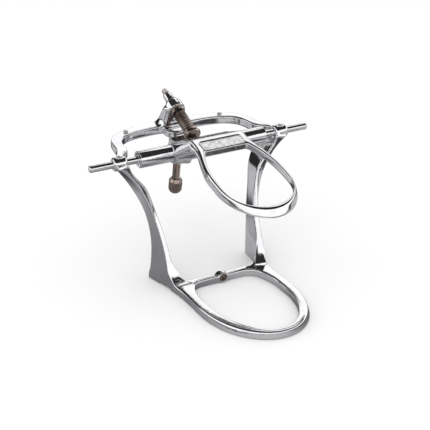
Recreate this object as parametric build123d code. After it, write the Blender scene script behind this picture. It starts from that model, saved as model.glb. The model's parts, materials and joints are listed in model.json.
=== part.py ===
from build123d import *
import os
from math import cos, radians, sin

os.makedirs("parts", exist_ok=True)

# Every shape is drawn about the hinge axis (X right, Y to the back, Z up) and
# then lifted to its place above the table. All sizes are in millimetres.

# --- hinge line -------------------------------------------------------------
SHAFT_R = 2.0              # hinge shaft radius
SHAFT_HALF = 67.5          # hinge shaft half length
RUN_CLEAR = 0.05           # radial clearance of a running fit
SEAT_CLEAR = 0.01          # radial clearance of a fixed seat
KNUCKLE_X = 50.0           # centre of each knuckle: 100 mm between condyles
KNUCKLE_W = 8.5
KNUCKLE_R = 4.1
SLEEVE_END = 38.8          # outer end of the hub sleeves
SLEEVE_R = 4.8
BLOCK_HALF = 19.0          # half length of the hub block
BLOCK_TOP = 4.8
BLOCK_BOTTOM = -5.2
BLOCK_FRONT = -5.6
BLOCK_REAR = 4.8
LOCK_X = -9.5              # hub lock screw, in its small boss
GROOVE_DEPTH = 0.4         # groove in the shaft for the lock screw
GROOVE_W = 3.2

# --- lower frame ------------------------------------------------------------
GROUND_Z = -73.0           # table below the hinge axis
BOW_TOP_Z = -68.4          # top of the lower bow
FRONT_REACH = 94.0         # hinge axis to the nose of the lower bow
HEEL_Y = 1.3               # rear end of the feet
CROSS_REAR = -19.9         # lower crossbar
CROSS_FRONT = -24.4
BAY_FRONT_HALF = 26.0      # inner side of the feet, at the crossbar
BAY_REAR_HALF = 28.6       # and at the heels: the feet spread to the back
BAY_R = 7.5
UPRIGHT_TURN = 5.0         # the uprights toe in towards the front
HOOP_HALF_H = 2.5          # half height of the rear hoop bar
EDGE_PULL = 0.4            # pull of the hoop's end directions: low, so its edges don't fold
SPLIT_Z = -4.5             # the uprights start this far below the hinge axis
SOCKET_R = 3.2             # socket boss on the lower crossbar
SOCKET_BORE = 1.6
SOCKET_Z = GROUND_Z + 3.3

# --- upper frame ------------------------------------------------------------
CLOSED_TILT = 14.58        # the upper bow slopes down to the front when closed
UPPER_TOP = 16.6           # upper bow, level, above the hinge axis
UPPER_BOTTOM = 12.0
PANEL_HALF = 12.7          # shallow recess in the crossbar
PANEL_DEPTH = 0.4
TONGUE_HALF = 5.7

# --- sprung bolt, pointing at the hinge axis ---------------------------------
BOLT_Y = 10.3              # centre of the button
BOLT_Z = 3.1
BOLT_RISE = 23.8           # slope of the bolt, rising to the back
BOLT_R = 1.6
BOLT_END = 38.9
TIP_CHAMFER = 0.35
BUTTON_R = 4.9
BUTTON_START = -0.6        # front face of the button, along the bolt
BUTTON_END = 2.8
SPRING_START = 4.1
SPRING_END = 18.0
SPRING_R = 2.95            # mean radius of the coils
WIRE_R = 0.55
COILS = 8
LUG_START = 21.2
LUG_END = 27.2
LUG_R = 4.9
NUT_R = 2.7
NUT_END = 34.3

# --- stop screw ---------------------------------------------------------------
STOP_Y = 27.4
STOP_Z = -3.0
STOP_LEAN = 10.0           # the screw leans back towards its head
STOP_R = 2.3
STOP_BOSS_R = 5.75
STOP_BOSS_END = 16.2
STOP_THREAD_END = 28.2
KNOB_R = 3.95
KNOB_END = 37.8

# --- origin: bottom centre of the whole articulator ---------------------------
TIP_RIM = BOLT_R - TIP_CHAMFER
REAR_REACH = BOLT_Y + BOLT_END * cos(radians(BOLT_RISE)) + TIP_RIM * sin(radians(BOLT_RISE))
HINGE_Y = (FRONT_REACH - REAR_REACH) / 2
HINGE_Z = -GROUND_Z

LOW = (Align.CENTER, Align.CENTER, Align.MIN)
BOLT_AXIS = (0, cos(radians(BOLT_RISE)), sin(radians(BOLT_RISE)))
BOLT = Plane((0, BOLT_Y, BOLT_Z), x_dir=(1, 0, 0), z_dir=BOLT_AXIS).location
STOP_AXIS = (0, sin(radians(STOP_LEAN)), -cos(radians(STOP_LEAN)))
STOP = Plane((0, STOP_Y, STOP_Z), x_dir=(1, 0, 0), z_dir=STOP_AXIS).location
CROSSWAYS = Plane((0, 0, 0), x_dir=(0, 1, 0), z_dir=(1, 0, 0)).location
TILT = Rot(CLOSED_TILT, 0, 0)


def rod(place, radius, start, end):
    """A cylinder along the local Z of a placement."""
    return place * Pos(0, 0, start) * Cylinder(radius, end - start, align=LOW)


def tube(place, outer, inner, start, end):
    """A ring or sleeve along the local Z of a placement."""
    return rod(place, outer, start, end) - rod(place, inner, start - 1, end + 1)


def turned(place, points):
    """A turned piece: half section of (radius, height) points round local Z."""
    section = make_face(Polyline(*points, close=True))
    return place * revolve(Plane.XZ * section, Axis.Z)


def mirrored(points):
    """The same points on the other side of the mid-plane, in reverse order."""
    return [(-x, y) for x, y in reversed(points)]


def bow_face(side, nose_y, nose_reach, rear_dir=(0, -1)):
    """A bow outline: straight rear edge, curved sides and half-ellipse nose."""
    half = side[-1][0]
    right = Spline(*side, (half, nose_y), tangents=[rear_dir, (0, -1)])
    nose = EllipticalCenterArc((0, nose_y), half, nose_reach - abs(nose_y), 180, arc_size=180)
    left_dir = (rear_dir[0], -rear_dir[1])
    left = Spline((-half, nose_y), *mirrored(side), tangents=[(0, 1), left_dir])
    rear = Line((-side[0][0], side[0][1]), side[0])
    return make_face([right, nose, left, rear])


def lift(shape):
    """Lift a shape from the hinge frame to its place above the table."""
    return Pos(0, HINGE_Y, HINGE_Z) * shape


def save(name, *solids):
    """Write one named piece, or one group of identical fasteners."""
    moved = [lift(solid) for solid in solids]
    body = moved[0] if len(moved) == 1 else Compound(children=moved)
    export_step(body, f"parts/{name}.step")


# --- lower bow ----------------------------------------------------------------
bow_foot = bow_face([(34.2, HEEL_Y), (29.6, -28)], -54, FRONT_REACH, (-0.17, -1))
bow_head = bow_face([(33.8, HEEL_Y), (28.9, -30)], -50, FRONT_REACH - 0.6, (-0.17, -1))
lower_bow = loft([Pos(0, 0, GROUND_Z) * bow_foot, Pos(0, 0, BOW_TOP_Z) * bow_head])
window = bow_face([(12, CROSS_FRONT), (20.6, -30.6), (23.2, -42)], -52, 89.2, (1, 0))
lower_bow -= Pos(0, 0, GROUND_Z - 1) * extrude(window, 10)
bay_end = HEEL_Y + 4
bay_spread = (BAY_REAR_HALF - BAY_FRONT_HALF) / (HEEL_Y - CROSS_REAR)
bay_half = BAY_FRONT_HALF + bay_spread * (bay_end - CROSS_REAR)
bay_right = [(BAY_FRONT_HALF, CROSS_REAR), (bay_half, bay_end)]
bay = make_face(Polyline(*bay_right, *mirrored(bay_right), close=True))
bay = fillet(bay.vertices().group_by(Axis.Y)[0], BAY_R)
bay_cut = Pos(0, 0, GROUND_Z - 1) * extrude(bay, 30)
lower_bow -= bay_cut
socket = Plane((0, CROSS_FRONT - 1.2, SOCKET_Z), x_dir=(1, 0, 0), z_dir=(0, 1, 0)).location
lower_bow += rod(socket, SOCKET_R, 0, 5.4)
lower_bow -= rod(socket, SOCKET_BORE + 0.6 + SEAT_CLEAR, -1, 8)
for side in (-1, 1):
    relief = Pos(side * 30, -14.5, GROUND_Z) * Box(8, 10, 1.6)
    lower_bow -= relief
save("lower_bow", lower_bow)
save("socket_bush", tube(socket, SOCKET_BORE + 0.6, SOCKET_BORE, 0, 5.4))

# --- rear hoop, knuckles and uprights -------------------------------------------
outer_side = [(52.6, 0), (46.2, 11), (43.8, 22), (40.9, 30.5), (32.1, 37.7), (10, 43)]
inner_side = [(46.2, 0), (45.3, 4.9), (40.8, 9.5), (38.8, 15.5), (37.6, 22.5), (31, 30.2), (16, 33.2)]


def hoop_edge(side, start, end):
    """A curved hoop edge and its mirror image, joined by a straight back."""
    right = Spline(*side, tangents=[start, end], tangent_scalars=[EDGE_PULL, EDGE_PULL])
    return [right, mirror(right, Plane.YZ), Line(side[-1], (-side[-1][0], side[-1][1]))]


hoop_face = make_face(
    hoop_edge(outer_side, (-0.3, 1), (-1, 0.05))
    + hoop_edge(inner_side, (-0.05, 1), (-1, 0.05))
    + [Line(outer_side[0], inner_side[0])]
    + [Line(*mirrored([outer_side[0], inner_side[0]]))]
)
hoop = Pos(0, 0, -HOOP_HALF_H) * extrude(hoop_face, 2 * HOOP_HALF_H)

# The front view gives the sweep of an upright, the side view its width.
sweep_inner = [(46.2, -0.5), (44.5, -5), (36.9, -15), (31.8, -30), (29.8, -40)]
sweep_inner += [(28.9, -52), (27.8, -59.5), (25.6, -64.4), (20.5, BOW_TOP_Z)]
sweep_outer = [(33.4, BOW_TOP_Z), (32.4, -57), (32.9, -40), (34.9, -30), (41.6, -14.5), (53, -1.5)]
front_view = make_face(
    [Spline(*sweep_inner, tangents=[(-0.35, -1), (-1, -0.12)])]
    + [Line(sweep_inner[-1], sweep_outer[0])]
    + [Spline(*sweep_outer), Line(sweep_outer[-1], sweep_inner[0])]
)
edge_front = [(-3.2, 0), (-2.9, -15), (-5.4, -30), (-8.9, -40)]
edge_front += [(-14.9, -54), (-17.8, -61), (-20.4, -65.4), (-25.4, BOW_TOP_Z)]
edge_rear = [(HEEL_Y, BOW_TOP_Z), (0.9, -58), (2.8, -40), (6.2, -29), (11.2, -19), (14.0, 0)]
side_view = make_face(
    [Spline(*edge_front, tangents=[(0.05, -1), (-1, -0.12)])]
    + [Line(edge_front[-1], edge_rear[0])]
    + [Spline(*edge_rear), Line(edge_rear[-1], edge_front[0])]
)
outside = make_face(
    hoop_edge(outer_side, (-0.3, 1), (-1, 0.05))
    + Polyline((52.6, 0), (54, -30), (-54, -30), (-52.6, 0)).edges()
)
upright = extrude(Plane.XZ * front_view, 40, both=True)
upright &= CROSSWAYS * extrude(side_view, 80)
upright = Pos(31.5, 2, 0) * Rot(0, 0, -UPRIGHT_TURN) * Pos(-31.5, -2, 0) * upright
upright &= Pos(0, 0, -80) * extrude(outside, 82)
# The feet limit the bottom of each upright, so its faces run on from theirs.
flare_half = 7.5
flare_side = [(33.8 + flare_half, HEEL_Y + 9.5), (28.9 + flare_half, -30)]
flare_top = bow_face(flare_side, -50, FRONT_REACH, (-0.17, -1))
flare = loft([Pos(0, 0, BOW_TOP_Z) * bow_head, Pos(0, 0, -30) * flare_top])
upright &= flare + Pos(0, 0, -30) * Box(200, 200, 60, align=LOW)
upright -= bay_cut

knuckle = CROSSWAYS * Pos(0, 0, KNUCKLE_X - KNUCKLE_W / 2) * Cylinder(KNUCKLE_R, KNUCKLE_W, align=LOW)
knuckle = fillet(knuckle.edges().filter_by(GeomType.CIRCLE), 2.0)

lug_sections = [
    Pos(0, 37.0, 2.0) * RectangleRounded(21, 10, 3),
    Pos(0, 36.2, 5.0) * RectangleRounded(16.4, 8.6, 3),
    Pos(0, 34.8, 9.0) * RectangleRounded(14.2, 7.4, 3),
    Pos(0, 33.4, 13.6) * RectangleRounded(12.0, 6.4, 3),
]
lug = loft(lug_sections) + rod(BOLT, LUG_R, LUG_START, LUG_END)
pad = Pos(0, 29.5, -HOOP_HALF_H) * extrude(RectangleRounded(16, 11, 4), 2 * HOOP_HALF_H - 1)

casting = hoop + lug + pad
for side in (-1, 1):
    mirror_plane = Plane.YZ
    one_upright = upright if side > 0 else mirror(upright, mirror_plane)
    one_knuckle = knuckle if side > 0 else mirror(knuckle, mirror_plane)
    casting = casting + one_upright + one_knuckle
casting -= rod(CROSSWAYS, SHAFT_R + RUN_CLEAR, -60, 60)
casting -= rod(BOLT, BOLT_R + 0.8 + SEAT_CLEAR, 15, 60)
casting -= rod(BOLT, LUG_R + 0.5, 16, LUG_START) + rod(BOLT, LUG_R + 0.5, LUG_END, 60)
for side in (-1, 1):
    casting -= Pos(side * KNUCKLE_X, 0, 0) * Cylinder(1.25 + SEAT_CLEAR, 6, align=LOW)
    casting -= Pos(side * 30, 34.4, 0) * Cylinder(0.8 + SEAT_CLEAR, 4, align=LOW)
casting -= Pos(0, 27.9, -HOOP_HALF_H - 1) * Cylinder(2.5 + SEAT_CLEAR, 3.4, align=LOW)

rear_hoop = casting & Pos(0, 0, SPLIT_Z) * Box(200, 200, 80, align=LOW)
uprights = casting - Pos(0, 0, SPLIT_Z) * Box(200, 200, 80, align=LOW)
save("rear_hoop", rear_hoop)
for solid in uprights.solids():
    name = "right_upright" if solid.center().X > 0 else "left_upright"
    save(name, solid)

# --- small pieces of the lower frame ----------------------------------------------
grub = rod(Pos(0, 0, 0), 1.25, SHAFT_R + RUN_CLEAR, 4.2)
grub -= Pos(0, 0, 3.0) * extrude(RegularPolygon(0.7, 6), 2)
save("knuckle_lock_screws", Pos(-KNUCKLE_X, 0, 0) * grub, Pos(KNUCKLE_X, 0, 0) * grub)
pin = rod(Pos(0, 0, 0), 0.8, 0.2, HOOP_HALF_H) + Pos(0, 0, HOOP_HALF_H) * (
    Sphere(1.45) & Box(4, 4, 1.1, align=LOW)
)
save("hoop_pins", Pos(-30, 34.4, 0) * pin, Pos(30, 34.4, 0) * pin)
save("stop_anvil", rod(Pos(0, 27.9, 0), 2.5, -HOOP_HALF_H, -0.2))
lug_bush = tube(BOLT, BOLT_R + 0.8, BOLT_R + RUN_CLEAR, LUG_START, LUG_END)
lug_bush += tube(BOLT, 3.6, BOLT_R + RUN_CLEAR, LUG_START - 1.2, LUG_START)
save("lug_bush", lug_bush)
save("rear_spring_seat", tube(BOLT, 3.9, BOLT_R + RUN_CLEAR, 18.7, LUG_START - 1.25))

# --- hinge shaft and upper frame -----------------------------------------------
shaft = rod(CROSSWAYS, SHAFT_R, -SHAFT_HALF, SHAFT_HALF)
shaft = chamfer(shaft.edges().filter_by(GeomType.CIRCLE), 0.6)
groove = (LOCK_X - GROOVE_W / 2, LOCK_X + GROOVE_W / 2)
shaft -= tube(CROSSWAYS, SHAFT_R + 1, SHAFT_R - GROOVE_DEPTH, *groove)
save("hinge_shaft", shaft)

under = bow_face([(16, -13), (16.5, -22), (19.3, -32), (22.4, -46)], -54, 82.6)
top = bow_face([(16, -13), (16.1, -22), (18.5, -32), (21, -46)], -54, 79.3)
bow = loft([Pos(0, 0, UPPER_BOTTOM) * under, Pos(0, 0, UPPER_TOP) * top])
opening = bow_face([(12.8, -24.4), (15.6, -31), (19, -50)], -59, 76.7, (0.4, -1))
bow -= Pos(0, 0, UPPER_BOTTOM - 1) * extrude(opening, 10)
bow -= Pos(0, -22, UPPER_TOP - PANEL_DEPTH) * Box(2 * PANEL_HALF, 12, 4, align=LOW)
bow = TILT * bow

block_face = Pos(0, 0) * Rectangle(BLOCK_REAR - BLOCK_FRONT, BLOCK_TOP - BLOCK_BOTTOM)
block_mid = Pos((BLOCK_REAR + BLOCK_FRONT) / 2, (BLOCK_TOP + BLOCK_BOTTOM) / 2)
block = CROSSWAYS * Pos(0, 0, -BLOCK_HALF) * extrude(block_mid * block_face, 2 * BLOCK_HALF)
lengthways = block.edges().filter_by(Axis.X)
low_edges = lengthways.group_by(Axis.Z)[0]
block = fillet(low_edges, 4.2)
block = fillet(block.edges().filter_by(Axis.X).group_by(Axis.Z)[-1], 1.2)

web_side = [(3.0, 4.6), (-16.8, 12.6), (-19.0, 11.0), (-22.5, 9.0), (-22.0, 7.2), (-4.0, -1.0), (2.0, -2.0)]
web = CROSSWAYS * Pos(0, 0, -BLOCK_HALF) * extrude(
    make_face(Polyline(*web_side, close=True)), 2 * BLOCK_HALF
)
web_right = [(20, 4), (20, -1), (16, -18), (16, -30)]
web_plan = make_face(Polyline(*web_right, *mirrored(web_right), close=True))
web &= Pos(0, 0, -20) * extrude(web_plan, 60)

tongue_side = [(2, -1.2), (18, -4.4), (25, -3.6), (30, -6), (27, -15), (17, -12), (2, -6.8)]
tongue = CROSSWAYS * Pos(0, 0, -TONGUE_HALF) * extrude(
    make_face(Polyline(*tongue_side, close=True)), 2 * TONGUE_HALF
)
boss = rod(STOP, STOP_BOSS_R, 0.7, STOP_BOSS_END)
boss = chamfer(boss.edges().filter_by(GeomType.CIRCLE), 0.6)
lock_boss = Pos(LOCK_X, 0, -7.6) * Cylinder(2.7, 6, align=LOW)

upper_frame = bow + web + block + tongue + boss + lock_boss
upper_frame -= rod(CROSSWAYS, SLEEVE_R + SEAT_CLEAR, -60, -BLOCK_HALF + 8)
upper_frame -= rod(CROSSWAYS, SLEEVE_R + SEAT_CLEAR, BLOCK_HALF - 8, 60)
upper_frame -= rod(CROSSWAYS, SHAFT_R + RUN_CLEAR, -60, 60)
upper_frame -= Pos(LOCK_X, 0, -12) * Cylinder(1.5 + SEAT_CLEAR, 12, align=LOW)
upper_frame -= rod(STOP, STOP_R + RUN_CLEAR, -5, 40)
save("upper_frame", upper_frame)

sleeve = tube(CROSSWAYS, SLEEVE_R, SHAFT_R + RUN_CLEAR, BLOCK_HALF - 8, SLEEVE_END)
save("right_hub_sleeve", sleeve)
save("left_hub_sleeve", mirror(sleeve, Plane.YZ))
lock_screw = rod(Pos(LOCK_X, 0, 0), 1.5, -7.2, -SHAFT_R + 0.2)
lock_screw -= Pos(LOCK_X, 0, -8) * extrude(RegularPolygon(0.9, 6), 2.4)
save("hub_lock_screw", lock_screw)

# --- sprung bolt ---------------------------------------------------------------
button = rod(BOLT, BUTTON_R, BUTTON_START, BUTTON_END)
button = fillet(button.edges().filter_by(GeomType.CIRCLE), 1.4)
button -= rod(BOLT, BOLT_R + SEAT_CLEAR, BUTTON_START + 1.4, 6)
save("bolt_button", button)
bolt = rod(BOLT, BOLT_R, BUTTON_START + 1.45, BOLT_END)
bolt = chamfer(bolt.edges().filter_by(GeomType.CIRCLE), TIP_CHAMFER)
bolt -= BOLT * Pos(0, 0, BOLT_END) * Box(0.8, 2 * BOLT_R + 1, 2.0)
save("spring_bolt", bolt)
seat_start = BUTTON_END + 0.02
save("front_spring_seat", tube(BOLT, 3.7, BOLT_R + SEAT_CLEAR, seat_start, SPRING_START - 0.1))
rise = SPRING_END - SPRING_START - 2 * WIRE_R
coil = Helix(rise / COILS, rise, SPRING_R)
wire = Plane(coil @ 0, z_dir=coil % 0) * Circle(WIRE_R)
spring = BOLT * Pos(0, 0, SPRING_START + WIRE_R) * sweep(wire, coil)
save("coil_spring", spring)
lock_nut = tube(BOLT, 3.5, BOLT_R + SEAT_CLEAR, LUG_END + 0.05, LUG_END + 1.7)
save("lock_nut", lock_nut)
nut = rod(BOLT, NUT_R, LUG_END + 1.75, NUT_END)
nut = chamfer(nut.edges().filter_by(GeomType.CIRCLE), 0.35)
nut -= rod(BOLT, BOLT_R + SEAT_CLEAR, 20, NUT_END + 1)
save("adjusting_nut", nut)
save("retaining_ring", tube(BOLT, 2.3, BOLT_R + SEAT_CLEAR, NUT_END + 0.05, NUT_END + 0.9))

# --- stop screw ------------------------------------------------------------------
screw = rod(STOP, STOP_R, -0.05, STOP_THREAD_END + 2)
save("stop_screw", screw)
knob = turned(STOP * Pos(0, 0, STOP_THREAD_END), [
    (STOP_R + SEAT_CLEAR, 0),
    (STOP_R + 0.6, 0),
    (KNOB_R, 1.6),
    (KNOB_R, 8.0),
    (KNOB_R - 1.4, KNOB_END - STOP_THREAD_END),
    (0, KNOB_END - STOP_THREAD_END),
    (0, 2.02),
    (STOP_R + SEAT_CLEAR, 2.02),
])
save("stop_knob", knob)
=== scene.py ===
import json
from math import cos, pi, radians, sin

import bmesh
import bpy
import numpy as np
from mathutils import Matrix, Vector

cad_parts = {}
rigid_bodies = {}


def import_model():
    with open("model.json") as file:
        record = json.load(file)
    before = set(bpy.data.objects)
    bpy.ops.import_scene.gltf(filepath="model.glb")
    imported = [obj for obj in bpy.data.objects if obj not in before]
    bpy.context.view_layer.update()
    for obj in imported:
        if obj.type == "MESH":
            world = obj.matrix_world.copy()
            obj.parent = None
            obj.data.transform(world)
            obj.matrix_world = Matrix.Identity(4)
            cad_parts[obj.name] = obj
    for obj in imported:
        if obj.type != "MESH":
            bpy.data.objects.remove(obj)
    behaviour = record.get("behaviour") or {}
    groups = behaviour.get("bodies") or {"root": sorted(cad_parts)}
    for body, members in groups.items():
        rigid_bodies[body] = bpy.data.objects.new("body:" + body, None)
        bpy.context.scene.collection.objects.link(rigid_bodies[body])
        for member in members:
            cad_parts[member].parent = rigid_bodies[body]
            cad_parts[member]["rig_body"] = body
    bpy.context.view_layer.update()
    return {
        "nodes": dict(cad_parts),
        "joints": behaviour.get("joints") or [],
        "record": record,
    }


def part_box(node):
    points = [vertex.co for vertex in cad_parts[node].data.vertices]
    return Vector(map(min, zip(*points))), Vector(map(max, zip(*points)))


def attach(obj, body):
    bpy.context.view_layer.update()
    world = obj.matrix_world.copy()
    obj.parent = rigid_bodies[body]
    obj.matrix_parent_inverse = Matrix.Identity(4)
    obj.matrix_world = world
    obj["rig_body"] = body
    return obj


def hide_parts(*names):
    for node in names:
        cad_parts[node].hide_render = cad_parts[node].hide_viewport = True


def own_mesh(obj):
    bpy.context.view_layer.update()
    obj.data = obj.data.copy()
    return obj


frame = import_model()
MM = 0.001

nodes = frame["nodes"]
joints = {joint["name"]: joint for joint in frame["joints"]}
shaft_low, shaft_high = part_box("hinge_shaft")
HINGE = (shaft_low + shaft_high) / 2
BOLT_AXIS = Vector(joints["bolt_spring"]["axis"]).normalized()
STOP_AXIS = Vector(joints["stop_travel"]["axis"]).normalized()
RIGHT = Vector((1, 0, 0))
BACK = Vector((0, 1, 0))

# --- camera -----------------------------------------------------------------------
VIEW_AZIMUTH = -28.56      # degrees
VIEW_ELEVATION = 25.0
VIEW_DISTANCE = 729.9 * MM
VIEW_AIM = Vector((8.3, 0, -43.3)) * MM      # from the middle of the hinge shaft
LENS = 107.6
CLIP_START = 0.01

# --- lamp -------------------------------------------------------------------------
KEY_PLACE = (-0.5, -0.5, 0.9)                # metres from the hinge
KEY_SIZE = 0.8
KEY_POWER = 1.5

# --- floor, and the painted reflection of it that the metal mirrors -----------------
FLOOR_HALF = 3.0
FLOOR_WHITE = (0.97, 0.97, 0.97)
FLOOR_ROUGHNESS = 0.8
# Colours of the painted reflection: the floor as reflections alone see it, pale, grey and dark.
PAINTED_REFLECTION_PALE = (0.50, 0.50, 0.51)
PAINTED_REFLECTION_GREY = (0.27, 0.27, 0.28)
PAINTED_REFLECTION_DARK = (0.05, 0.05, 0.053)
GREY_SHADE = 0.35          # shade at which the painted reflection of the floor is plain grey
# Patches painted darker into the floor's reflection: painted reflection behind and front right,
# painted shade near the left of the object.
# Each side of a patch is where it starts to fade in and where it is full, in metres.
PAINTED_REFLECTION_BEHIND = {"Y": [(0.06, 0.11)], "X": [(-0.06, -0.02)]}
PAINTED_REFLECTION_FRONT_RIGHT = {"Y": [(-0.01, -0.05)], "X": [(0.0, 0.04), (0.15, 0.12)]}
# Painted shade: the floor close to the object's left, darker in reflections.
PAINTED_SHADE_NEAR_LEFT = {"Y": [(-0.07, 0.0), (0.12, 0.06)], "X": [(0.02, -0.02)]}
NEAR_LEFT_SHADE = 0.4
# Random mottle painted into the floor's reflection, part of the painted reflection.
MOTTLE_SCALE = 14.0
MOTTLE_DETAIL = 2.0
MOTTLE_SHADE = 0.25

# --- surroundings that the metal mirrors --------------------------------------------
WALL_LOW = 0.07            # sine of the elevation where the bright walls begin
WALL_HIGH = 0.50           # and where the dark ceiling begins
WALL_FADE = 0.04           # how far either fades, as a sine
SKYLIGHT = Vector((0.433, 0.489, 0.757)).normalized()    # middle of the ceiling's bright patch
SKYLIGHT_IN = 0.985        # cosine of the angle from its middle where it starts to fade
SKYLIGHT_OUT = 0.965       # and where it has faded
FLAG_LEFT = -0.62          # the dark flag's left edge, in radians from straight back
FLAG_RIGHT = -0.05         # and its right edge
FLAG_FADE = 0.05
WALL_WHITE = (1.0, 1.0, 1.0)
WALL_BLACK = (0.02, 0.02, 0.02)
WALL_STRENGTH = 1.15

# --- recessed panel of the upper crossbar -------------------------------------------
RECESS_HALF = 12.3 * MM
RECESS_REAR = HINGE.y - 20.0 * MM
RECESS_FRONT = HINGE.y - 28.6 * MM
RECESS_EDGE = 0.3 * MM
RECESS = {
    "X": [(-RECESS_HALF - RECESS_EDGE, -RECESS_HALF), (RECESS_HALF + RECESS_EDGE, RECESS_HALF)],
    "Y": [(RECESS_FRONT - RECESS_EDGE, RECESS_FRONT), (RECESS_REAR + RECESS_EDGE, RECESS_REAR)],
    "Z": [(HINGE.z + 2 * MM, HINGE.z + 5 * MM)],
}
PIT_SCALE = 700.0
PIT_ROUGHNESS = (0.04, 0.34)
SPOT_SCALE = 550.0
SPOT_STOPS = (0.38, 0.62)
SPOT_GREY = (0.58, 0.58, 0.59)

# --- metal surfaces -----------------------------------------------------------------
NOISE_ROUGHNESS = 0.55
TONE_SCALE = 90.0
TONE_DETAIL = 5.0
TONE_STOPS = (0.3, 0.62)   # noise values of the dark and the light tone
POLISH_SCALE = 260.0
FINE_DETAIL = 6.0
GRAIN_STRENGTH = 0.35
CHROME_LIGHT = (0.90, 0.90, 0.91)
CHROME_DARK = (0.78, 0.78, 0.80)

# --- meshes -------------------------------------------------------------------------
WELD = 0.001 * MM          # points of the CAD mesh that are closer than this are one point
BORE_CLEAR = 0.07 * MM     # gap between a bore in a casting and what moves in it
VOXEL = 0.25 * MM
SMOOTH_TURNS = 108
KEEP_FACES = 0.33          # share of the faces that the finished castings keep
FLAT_ANGLE = radians(1.5)  # faces of the CAD mesh that meet flatter than this are one face
BEVEL_ANGLE = radians(35)  # edges sharper than this are broken
BEVEL_STEPS = 3
MACHINED_SHARP = radians(40)
TURNED_SHARP = radians(38)

# Width of the broken edges of the small pieces, in millimetres.
RIMS = (
    (0.25, ("hinge_shaft", "left_hub_sleeve", "right_hub_sleeve")),
    (0.1, ("socket_bush", "knuckle_lock_screws", "hoop_pins", "stop_anvil", "lug_bush")),
    (0.15, ("rear_spring_seat", "front_spring_seat", "hub_lock_screw", "lock_nut")),
    (0.2, ("bolt_button", "adjusting_nut", "retaining_ring")),
)


# --- node helpers -------------------------------------------------------------------
def new_material(name):
    """A new node material: (material, node tree, principled shader)."""
    material = bpy.data.materials.new(name)
    material.use_nodes = True
    tree = material.node_tree
    return material, tree, tree.nodes["Principled BSDF"]


def coordinates(tree, kind):
    """Texture coordinates of one kind: (the vector, its parts by axis)."""
    place = tree.nodes.new("ShaderNodeTexCoord")
    split = tree.nodes.new("ShaderNodeSeparateXYZ")
    tree.links.new(place.outputs[kind], split.inputs["Vector"])
    return place.outputs[kind], split.outputs


def noise(tree, scale, detail=4.0, stretch=(1, 1, 1)):
    """Noise in object space, in the object's own metres."""
    place = tree.nodes.new("ShaderNodeTexCoord")
    mapping = tree.nodes.new("ShaderNodeMapping")
    mapping.inputs["Scale"].default_value = stretch
    texture = tree.nodes.new("ShaderNodeTexNoise")
    texture.inputs["Scale"].default_value = scale
    texture.inputs["Detail"].default_value = detail
    texture.inputs["Roughness"].default_value = NOISE_ROUGHNESS
    tree.links.new(place.outputs["Object"], mapping.inputs["Vector"])
    tree.links.new(mapping.outputs["Vector"], texture.inputs["Vector"])
    return texture.outputs["Fac"]


def ramp(tree, factor, stops):
    """A colour ramp through (position, colour) stops."""
    node = tree.nodes.new("ShaderNodeValToRGB")
    elements = node.color_ramp.elements
    while len(elements) < len(stops):
        elements.new(0.5)
    for element, (position, colour) in zip(elements, stops):
        element.position = position
        element.color = (*colour, 1.0)
    tree.links.new(factor, node.inputs["Fac"])
    return node.outputs["Color"]


def between(tree, factor, low, high):
    """A factor stretched to run from low to high."""
    node = tree.nodes.new("ShaderNodeMapRange")
    node.inputs["To Min"].default_value = low
    node.inputs["To Max"].default_value = high
    tree.links.new(factor, node.inputs["Value"])
    return node.outputs["Result"]


def fade(tree, value, start, end):
    """A factor that rises smoothly from 0 at the start value to 1 at the end value."""
    node = tree.nodes.new("ShaderNodeMapRange")
    node.interpolation_type = "SMOOTHSTEP"
    node.inputs["From Min"].default_value = start
    node.inputs["From Max"].default_value = end
    tree.links.new(value, node.inputs["Value"])
    return node.outputs["Result"]


def combine(tree, operation, first, *others):
    """Factors joined one after another by a math operation."""
    result = first
    for other in others:
        node = tree.nodes.new("ShaderNodeMath")
        node.operation = operation
        tree.links.new(result, node.inputs[0])
        tree.links.new(other, node.inputs[1])
        result = node.outputs[0]
    return result


def patch(tree, parts, sides):
    """1 inside a patch and 0 outside it, from the (start, full) fades of its sides."""
    fades = [fade(tree, parts[axis], *side) for axis in sides for side in sides[axis]]
    return combine(tree, "MULTIPLY", *fades)


def blend_colours(tree, factor, first, second):
    """The first colour where the factor is 0, the second where it is 1."""
    node = tree.nodes.new("ShaderNodeMix")
    node.data_type = "RGBA"
    factor_in, first_in, second_in, result_out = 0, 6, 7, 2     # its sockets for colours
    tree.links.new(factor, node.inputs[factor_in])
    tree.links.new(first, node.inputs[first_in])
    tree.links.new(second, node.inputs[second_in])
    return node.outputs[result_out]


def bump(tree, shader, height, strength, distance):
    """Surface relief from a height, distance in metres."""
    node = tree.nodes.new("ShaderNodeBump")
    node.inputs["Strength"].default_value = strength
    node.inputs["Distance"].default_value = distance
    tree.links.new(height, node.inputs["Height"])
    tree.links.new(node.outputs["Normal"], shader.inputs["Normal"])


def split_view(tree, plain, mirrored, output):
    """Show the plain shader to the camera and the mirrored one to reflections."""
    rays = tree.nodes.new("ShaderNodeLightPath")
    mix = tree.nodes.new("ShaderNodeMixShader")
    tree.links.new(rays.outputs["Is Glossy Ray"], mix.inputs[0])
    tree.links.new(plain.outputs[0], mix.inputs[1])
    tree.links.new(mirrored.outputs[0], mix.inputs[2])
    tree.links.new(mix.outputs[0], output.inputs["Surface"])


# --- materials ----------------------------------------------------------------------
def metal(name, light, dark, roughness, grain, stretch, relief):
    """A metal with uneven tone, uneven polish and fine grain, its relief in metres."""
    material, tree, shader = new_material(name)
    shader.inputs["Metallic"].default_value = 1.0
    tone = noise(tree, TONE_SCALE, TONE_DETAIL)
    colour = ramp(tree, tone, list(zip(TONE_STOPS, (dark, light))))
    tree.links.new(colour, shader.inputs["Base Color"])
    polish = noise(tree, POLISH_SCALE, FINE_DETAIL)
    tree.links.new(between(tree, polish, *roughness), shader.inputs["Roughness"])
    surface = noise(tree, grain, FINE_DETAIL, stretch)
    bump(tree, shader, surface, GRAIN_STRENGTH, relief)
    return material


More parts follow.
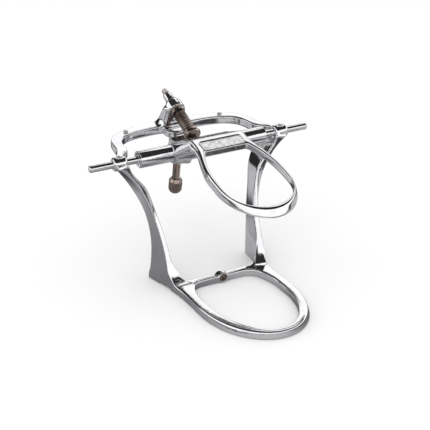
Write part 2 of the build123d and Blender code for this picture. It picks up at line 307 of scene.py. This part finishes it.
def chrome():
    """Polished chrome plate, faintly rippled, and left rough in the crossbar's recess."""
    material = metal(
        "chrome", light=CHROME_LIGHT, dark=CHROME_DARK,
        roughness=(0.035, 0.13), grain=190.0, stretch=(1, 1, 1), relief=0.00022,
    )
    tree = material.node_tree
    shader = tree.nodes["Principled BSDF"]
    polish = shader.inputs["Roughness"].links[0].from_socket
    colour = shader.inputs["Base Color"].links[0].from_socket
    _, parts = coordinates(tree, "Object")
    mask = patch(tree, parts, RECESS)
    pits = between(tree, noise(tree, PIT_SCALE), *PIT_ROUGHNESS)
    haze = combine(tree, "MULTIPLY", mask, pits)
    tree.links.new(combine(tree, "ADD", polish, haze), shader.inputs["Roughness"])
    spots = ramp(tree, noise(tree, SPOT_SCALE), list(zip(SPOT_STOPS, (SPOT_GREY, CHROME_LIGHT))))
    tree.links.new(blend_colours(tree, mask, colour, spots), shader.inputs["Base Color"])
    return material


def ground_steel():
    """Ground shaft steel with fine rings from grinding."""
    return metal(
        "shaft_steel", light=(0.86, 0.86, 0.87), dark=(0.76, 0.76, 0.78),
        roughness=(0.06, 0.16), grain=900.0, stretch=(8, 1, 1), relief=0.00002,
    )


def screw_steel():
    """Bright machined steel for the small screws and pins."""
    return metal(
        "screw_steel", light=(0.72, 0.70, 0.68), dark=(0.52, 0.50, 0.48),
        roughness=(0.14, 0.30), grain=1500.0, stretch=(1, 1, 3), relief=0.00002,
    )


def oiled_steel():
    """Brown spring steel with blackened patches."""
    return metal(
        "spring_steel", light=(0.60, 0.50, 0.44), dark=(0.16, 0.12, 0.10),
        roughness=(0.12, 0.30), grain=1200.0, stretch=(1, 1, 1), relief=0.00004,
    )


def stop_steel():
    """Brown-grey steel of the stop screw."""
    return metal(
        "stop_steel", light=(0.46, 0.37, 0.33), dark=(0.17, 0.13, 0.115),
        roughness=(0.12, 0.30), grain=1400.0, stretch=(1, 1, 2), relief=0.00004,
    )


def turned_brass():
    """Pale turned brass, slightly tarnished."""
    return metal(
        "bush_brass", light=(0.55, 0.45, 0.34), dark=(0.33, 0.26, 0.19),
        roughness=(0.14, 0.30), grain=1300.0, stretch=(1, 1, 4), relief=0.00003,
    )


MATERIALS = {
    "chrome": chrome(),
    "shaft_steel": ground_steel(),
    "screw_steel": screw_steel(),
    "spring_steel": oiled_steel(),
    "stop_steel": stop_steel(),
    "bush_brass": turned_brass(),
}


# --- mesh helpers -------------------------------------------------------------------
def body_of(node):
    """The body that a CAD node moves with."""
    return nodes[node]["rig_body"]


def slot_of(node):
    """The record's material slot of a CAD node."""
    for part in frame["record"]["subparts"]:
        if part["node"] == node:
            return part["material_slot"]
    raise KeyError(node)


def add_piece(name, mesh, stands_for):
    """Link a mesh and give it the material and body of the CAD nodes that it stands for."""
    piece = bpy.data.objects.new(name, mesh)
    bpy.context.scene.collection.objects.link(piece)
    first = stands_for[0]
    mesh.materials.clear()
    mesh.materials.append(MATERIALS[slot_of(first)])
    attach(piece, body_of(first))
    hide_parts(*stands_for)
    return piece


def apply_modifiers(piece):
    """Replace a piece's mesh by the result of its modifiers."""
    graph = bpy.context.evaluated_depsgraph_get()
    result = bpy.data.meshes.new_from_object(piece.evaluated_get(graph))
    piece.modifiers.clear()
    piece.data = result


def finished_mesh(shape, name):
    """A mesh from a bmesh, which is used up."""
    mesh = bpy.data.meshes.new(name)
    shape.to_mesh(mesh)
    shape.free()
    return mesh


def casting(name, *stands_for):
    """One casting from CAD nodes that touch: joined, with softly rounded edges."""
    joined = bmesh.new()
    for node in stands_for:
        joined.from_mesh(nodes[node].data)
    bmesh.ops.remove_doubles(joined, verts=joined.verts, dist=WELD)
    piece = add_piece(name, finished_mesh(joined, name), stands_for)
    remesh = piece.modifiers.new("skin", "REMESH")
    remesh.mode = "VOXEL"
    remesh.voxel_size = VOXEL
    smooth = piece.modifiers.new("polish", "SMOOTH")
    smooth.factor = 0.5
    smooth.iterations = SMOOTH_TURNS
    thin = piece.modifiers.new("fewer_faces", "DECIMATE")
    thin.ratio = KEEP_FACES
    apply_modifiers(piece)
    piece.data.materials.clear()
    piece.data.materials.append(MATERIALS[slot_of(stands_for[0])])
    piece.data.shade_smooth()
    return piece


def machined(node, rim):
    """A small piece from the CAD with broken edges, the rim's width in millimetres."""
    shape = bmesh.new()
    shape.from_mesh(nodes[node].data)
    bmesh.ops.remove_doubles(shape, verts=shape.verts, dist=WELD)
    bmesh.ops.dissolve_limit(shape, angle_limit=FLAT_ANGLE, verts=shape.verts, edges=shape.edges)
    name = node + "_finish"
    piece = add_piece(name, finished_mesh(shape, name), [node])
    bevel = piece.modifiers.new("broken_edge", "BEVEL")
    bevel.width = rim * MM
    bevel.segments = BEVEL_STEPS
    bevel.limit_method = "ANGLE"
    bevel.angle_limit = BEVEL_ANGLE
    apply_modifiers(piece)
    piece.data.shade_smooth()
    piece.data.set_sharp_from_angle(angle=MACHINED_SHARP)


def axis_span(node, axis):
    """Extent of a turned CAD node along its axis: (start point, length, radius)."""
    points = np.array([v.co for v in nodes[node].data.vertices])
    middle = (points.min(0) + points.max(0)) / 2
    along = (points - middle) @ np.array(axis)
    across = np.linalg.norm((points - middle) - np.outer(along, np.array(axis)), axis=1)
    start = Vector(middle) + axis * float(along.min())
    return start, float(along.max() - along.min()), float(across.max())


def placed(start, axis):
    """A placement whose local Z is the axis and whose local X stays level."""
    level = RIGHT if abs(axis.x) < 0.9 else BACK
    third = axis.cross(level).normalized()
    turn = Matrix((level, third, axis)).transposed().to_4x4()
    return Matrix.Translation(start) @ turn


def turned(name, node, axis, steps, sides, radius_at):
    """A turned piece: radius_at(height, angle) round the node's axis, closed by flat ends."""
    start, length, _ = axis_span(node, axis)
    place = placed(start, axis)
    shape = bmesh.new()
    rings = []
    for step in range(steps + 1):
        height = length * step / steps
        ring = []
        for side in range(sides):
            angle = 2 * pi * side / sides
            r = radius_at(height, angle)
            ring.append(shape.verts.new(place @ Vector((r * cos(angle), r * sin(angle), height))))
        rings.append(ring)
    for lower, upper in zip(rings, rings[1:]):
        for side in range(sides):
            after = (side + 1) % sides
            shape.faces.new((lower[side], lower[after], upper[after], upper[side]))
    shape.faces.new(list(reversed(rings[0])))
    shape.faces.new(rings[-1])
    shape.normal_update()
    piece = add_piece(name, finished_mesh(shape, name), [node])
    piece.data.shade_smooth()
    piece.data.set_sharp_from_angle(angle=TURNED_SHARP)


def thread(radius, pitch, depth, chamfer, length, first=0.0):
    """Radius of a screw thread at a height and angle, plain below first, with chamfered ends."""
    def radius_at(height, angle):
        turn = (height / pitch - angle / (2 * pi)) % 1.0
        groove = 0.0 if height < first else depth * abs(2 * turn - 1)
        end = min(height, length - height)
        taper = max(0.0, chamfer - end)
        return radius - groove - taper

    return radius_at


def clear_bore(piece, start, axis, radius):
    """Push a casting's surface back to the wall of a bore that a shaft turns or slides in."""
    for vertex in piece.data.vertices:
        offset = vertex.co - start
        foot = axis * offset.dot(axis)
        spoke = offset - foot
        if 0 < spoke.length < radius:
            vertex.co = start + foot + spoke.normalized() * radius


# --- castings -----------------------------------------------------------------------
shaft_bore = axis_span("hinge_shaft", RIGHT)[2] + BORE_CLEAR
stop_start, _, stop_radius = axis_span("stop_screw", STOP_AXIS)
lower_casting = casting("lower_casting", "lower_bow", "left_upright", "right_upright", "rear_hoop")
clear_bore(lower_casting, HINGE, RIGHT, shaft_bore)
upper_casting = casting("upper_casting", "upper_frame")
clear_bore(upper_casting, HINGE, RIGHT, shaft_bore)
clear_bore(upper_casting, stop_start, STOP_AXIS, stop_radius + BORE_CLEAR)

# --- small machined pieces ------------------------------------------------------------
for rim, names in RIMS:
    for node in names:
        machined(node, rim)


# --- stop screw and its knurled knob --------------------------------------------------
def stop_screw():
    """A fine-threaded screw."""
    _, length, radius = axis_span("stop_screw", STOP_AXIS)
    pitch = 0.8 * MM
    steps = int(length / pitch * 12)
    shape = thread(radius, pitch, depth=0.42 * MM, chamfer=0.3 * MM, length=length)
    turned("stop_screw_thread", "stop_screw", STOP_AXIS, steps, 72, shape)


def stop_knob():
    """A knob with a conical neck, straight knurling and a rounded end."""
    _, length, radius = axis_span("stop_knob", STOP_AXIS)
    neck = 0.72 * radius
    cone = 1.7 * MM
    knurl_end = length - 2.0 * MM
    run_out = 0.5 * MM         # length over which the knurling fades at either end
    end_drop = 0.45 * radius   # how much narrower the rounded end closes
    ridges = 26
    depth = 0.32 * MM

    def radius_at(height, angle):
        if height < cone:
            return neck + (radius - neck) * (height / cone)
        if height > knurl_end:
            t = (height - knurl_end) / (length - knurl_end)
            return radius - depth - (end_drop - depth) * t * t
        share = min(1.0, (height - cone) / run_out, (knurl_end - height) / run_out)
        ridge = 0.5 - 0.5 * cos(ridges * angle)
        return radius - depth * share * ridge * ridge - depth * (1 - share) * 0.5

    turned("stop_knob_knurled", "stop_knob", STOP_AXIS, 60, ridges * 8, radius_at)


stop_screw()
stop_knob()


# --- sprung bolt ----------------------------------------------------------------------
def bolt():
    """The long bolt: plain where it slides, threaded at its rear end."""
    _, length, radius = axis_span("spring_bolt", BOLT_AXIS)
    pitch = 0.6 * MM
    thread_start = length - 11.0 * MM
    steps = int(length / pitch * 10)
    shape = thread(
        radius, pitch, depth=0.26 * MM, chamfer=0.3 * MM, length=length, first=thread_start,
    )
    turned("bolt_thread", "spring_bolt", BOLT_AXIS, steps, 48, shape)


def spring():
    """The coil spring, which on the real articulator shortens towards its rear seat as the bolt
    moves back; here it keeps the CAD shape on a mesh of its own.
    """
    mesh = nodes["coil_spring"].data.copy()
    mesh.name = "spring_coils"
    piece = add_piece("spring_coils", mesh, ["coil_spring"])
    piece.data.shade_smooth()
    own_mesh(piece)


bolt()
spring()


# --- studio ---------------------------------------------------------------------------
def floor():
    """A plain white floor. Reflections alone show a painted reflection of it: mottled grey with
    three darker patches, the one near the left a painted shade.
    """
    bpy.ops.mesh.primitive_plane_add(size=2 * FLOOR_HALF, location=(0, 0, 0))
    plane = bpy.context.object
    plane.name = "studio_floor"
    material, tree, shader = new_material("floor")
    shader.inputs["Base Color"].default_value = (*FLOOR_WHITE, 1)
    shader.inputs["Roughness"].default_value = FLOOR_ROUGHNESS
    shader.inputs["Specular IOR Level"].default_value = 0.0
    _, parts = coordinates(tree, "Object")
    # Painted reflection: darker patches of floor that reflections alone show.
    behind_painted_reflection = patch(tree, parts, PAINTED_REFLECTION_BEHIND)
    front_right_painted_reflection = patch(tree, parts, PAINTED_REFLECTION_FRONT_RIGHT)
    # Painted shade near the object's left, shown to reflections alone.
    near_left_painted_shade = between(tree, patch(tree, parts, PAINTED_SHADE_NEAR_LEFT), 0.0, NEAR_LEFT_SHADE)
    shade = combine(tree, "MAXIMUM", behind_painted_reflection, front_right_painted_reflection, near_left_painted_shade)
    # Random mottle over the painted reflection.
    mottle = noise(tree, MOTTLE_SCALE, MOTTLE_DETAIL)
    shade = combine(tree, "ADD", shade, between(tree, mottle, -MOTTLE_SHADE, MOTTLE_SHADE))
    # Painted reflection: pale, grey and dark floor tones shown to reflections alone.
    tones = ramp(tree, shade, [(0.0, PAINTED_REFLECTION_PALE), (GREY_SHADE, PAINTED_REFLECTION_GREY), (1.0, PAINTED_REFLECTION_DARK)])
    mirrored = tree.nodes.new("ShaderNodeBsdfDiffuse")
    tree.links.new(tones, mirrored.inputs["Color"])
    split_view(tree, shader, mirrored, tree.nodes["Material Output"])
    plane.data.materials.append(material)


def world():
    """White surroundings. Metal mirrors bright walls and a dark ceiling, skirting and flag."""
    scene_world = bpy.data.worlds.new("studio")
    bpy.context.scene.world = scene_world
    scene_world.use_nodes = True
    tree = scene_world.node_tree
    tree.nodes.clear()
    output = tree.nodes.new("ShaderNodeOutputWorld")
    plain = tree.nodes.new("ShaderNodeBackground")
    plain.inputs["Color"].default_value = (1, 1, 1, 1)
    plain.inputs["Strength"].default_value = 1.0
    direction, parts = coordinates(tree, "Generated")
    roof = fade(tree, parts["Z"], WALL_HIGH, WALL_HIGH + WALL_FADE)
    toward = tree.nodes.new("ShaderNodeVectorMath")
    toward.operation = "DOT_PRODUCT"
    toward.inputs[1].default_value = SKYLIGHT
    tree.links.new(direction, toward.inputs[0])
    closed = fade(tree, toward.outputs["Value"], SKYLIGHT_IN, SKYLIGHT_OUT)
    ceiling = combine(tree, "MULTIPLY", roof, closed)
    skirting = fade(tree, parts["Z"], WALL_LOW, WALL_LOW - WALL_FADE)
    azimuth = combine(tree, "ARCTAN2", parts["X"], parts["Y"])
    flag_start = fade(tree, azimuth, FLAG_LEFT - FLAG_FADE, FLAG_LEFT)
    flag_end = fade(tree, azimuth, FLAG_RIGHT + FLAG_FADE, FLAG_RIGHT)
    flag = combine(tree, "MULTIPLY", flag_start, flag_end)
    dark = combine(tree, "MAXIMUM", ceiling, skirting, flag)
    mirrored = tree.nodes.new("ShaderNodeBackground")
    tones = ramp(tree, dark, [(0.0, WALL_WHITE), (1.0, WALL_BLACK)])
    tree.links.new(tones, mirrored.inputs["Color"])
    mirrored.inputs["Strength"].default_value = WALL_STRENGTH
    split_view(tree, plain, mirrored, output)


def lamp(name, place, size, power):
    """A soft area light aimed at the hinge, which reflections don't show."""
    data = bpy.data.lights.new(name, "AREA")
    data.size = size
    data.energy = power
    light = bpy.data.objects.new(name, data)
    bpy.context.scene.collection.objects.link(light)
    light.location = HINGE + Vector(place)
    light.rotation_euler = (HINGE - light.location).to_track_quat("-Z", "Y").to_euler()
    light.visible_glossy = False


def camera():
    """The camera at the viewing angle."""
    azimuth = radians(VIEW_AZIMUTH)
    elevation = radians(VIEW_ELEVATION)
    back = Vector((sin(azimuth) * cos(elevation), -cos(azimuth) * cos(elevation), sin(elevation)))
    data = bpy.data.cameras.new("camera")
    data.lens = LENS
    data.clip_start = CLIP_START
    view = bpy.data.objects.new("camera", data)
    bpy.context.scene.collection.objects.link(view)
    aim = HINGE + VIEW_AIM
    view.location = aim + back * VIEW_DISTANCE
    view.rotation_euler = back.to_track_quat("Z", "Y").to_euler()
    bpy.context.scene.camera = view


floor()
world()
lamp("key_light", KEY_PLACE, KEY_SIZE, KEY_POWER)
camera()
bpy.context.scene.view_settings.view_transform = "Standard"
